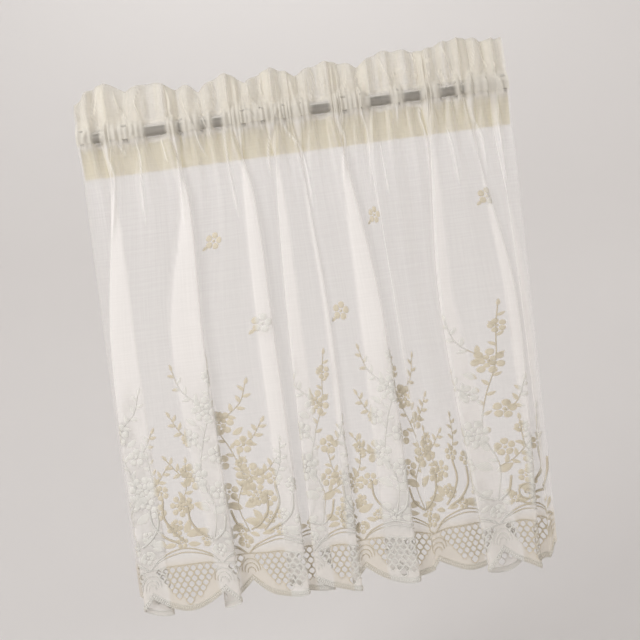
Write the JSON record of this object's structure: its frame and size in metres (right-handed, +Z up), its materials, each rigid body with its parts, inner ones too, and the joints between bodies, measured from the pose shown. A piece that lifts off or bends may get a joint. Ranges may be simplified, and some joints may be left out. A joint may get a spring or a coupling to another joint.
{
  "type": "embroidered voile tier curtain on a plain rod",
  "caption": "Sheer rod-pocket tier curtain with a ruffle, soft folds and a scalloped openwork lace hem, gathered on a plain metal rod.",
  "frame": {"origin": "middle of the rod's axis", "axes": "+Z up, +X along the rod, -Y towards the room, the side that is seen"},
  "size_m": [0.74, 0.0386, 0.9132],
  "materials": {
    "voile": "sheer cream-white voile with denser woven and embroidered lace",
    "rod_metal": "satin grey metal"
  },
  "bodies": {
    "root": {"curtain": "voile", "rod": "rod_metal"}
  },
  "joints": []
}
